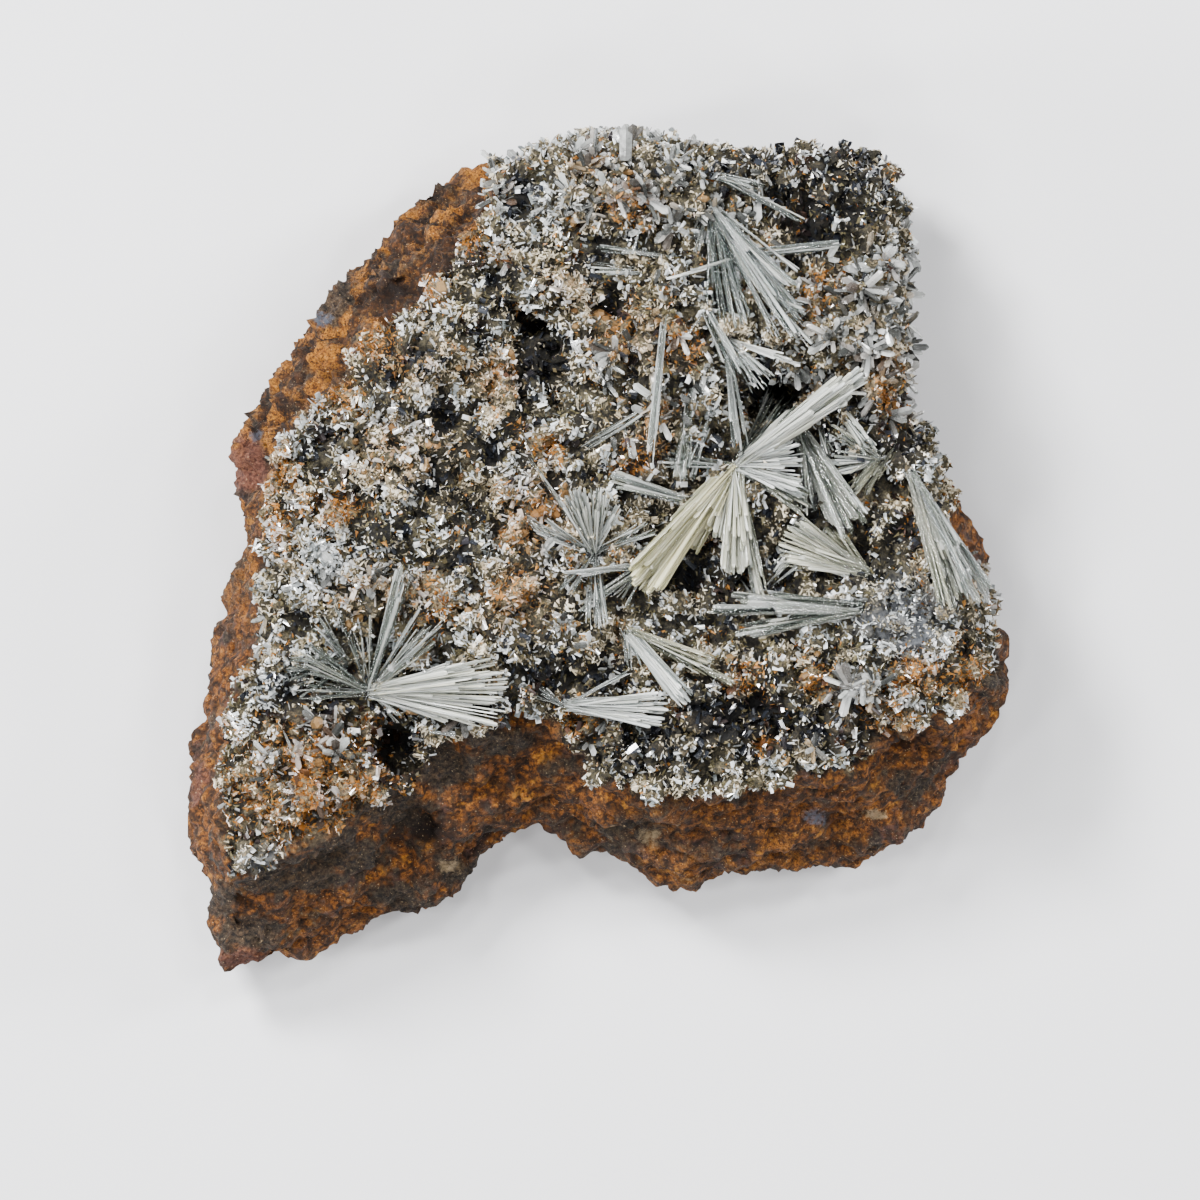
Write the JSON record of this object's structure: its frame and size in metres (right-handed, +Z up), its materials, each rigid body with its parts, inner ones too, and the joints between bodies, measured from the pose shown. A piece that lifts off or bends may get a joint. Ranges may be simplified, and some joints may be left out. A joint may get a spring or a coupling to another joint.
{
  "type": "scholzite with phosphophyllite specimen",
  "caption": "Mineral specimen: needle sprays of scholzite and small phosphophyllite blades on a chunk of iron-stained gossan. It lies on its flat broken back.",
  "frame": {"origin": "middle of the flat back that the specimen lies on, under the centre of its bounding box", "axes": "+Z up out of the crystal face, +Y towards the top edge of the face as shown, +X to the right of the face"},
  "size_m": [0.0815, 0.0839, 0.031],
  "materials": {
    "gossan": "rough, earthy, iron-stained",
    "scholzite": "silky to glassy, translucent",
    "phosphophyllite": "glassy to frosted, translucent"
  },
  "bodies": {
    "root": {"matrix": "gossan", "scholzite_lower_left_spray": "scholzite", "scholzite_middle_fan": "scholzite", "scholzite_lower_centre_fan": "scholzite", "scholzite_centre_left_burst": "scholzite", "scholzite_crossing_bars": "scholzite", "scholzite_great_spray": "scholzite", "scholzite_left_arm": "scholzite", "scholzite_right_long_prisms": "scholzite", "scholzite_right_low_fan": "scholzite", "scholzite_right_small_fan": "scholzite", "scholzite_glassy_bars": "scholzite", "scholzite_far_right_fan": "scholzite", "scholzite_top_spray": "scholzite", "scholzite_top_cross_needles": "scholzite", "scholzite_top_long_needle": "scholzite", "scholzite_top_left_needle": "scholzite", "scholzite_hanging_needles": "scholzite", "scholzite_left_column": "scholzite", "scholzite_column_partner": "scholzite", "scholzite_left_stray": "scholzite", "scholzite_lower_stray": "scholzite", "phosphophyllite_crest_blade": "phosphophyllite", "phosphophyllite_crest": "phosphophyllite", "phosphophyllite_upper_left": "phosphophyllite", "phosphophyllite_crown": "phosphophyllite", "phosphophyllite_top_middle": "phosphophyllite", "phosphophyllite_right_shoulder": "phosphophyllite", "phosphophyllite_right_rim": "phosphophyllite", "phosphophyllite_right_notch": "phosphophyllite", "phosphophyllite_right_low": "phosphophyllite", "phosphophyllite_middle": "phosphophyllite", "phosphophyllite_left": "phosphophyllite", "phosphophyllite_nest_edge": "phosphophyllite", "phosphophyllite_lower_left": "phosphophyllite", "phosphophyllite_ledge": "phosphophyllite", "phosphophyllite_lower_right": "phosphophyllite"}
  },
  "joints": []
}
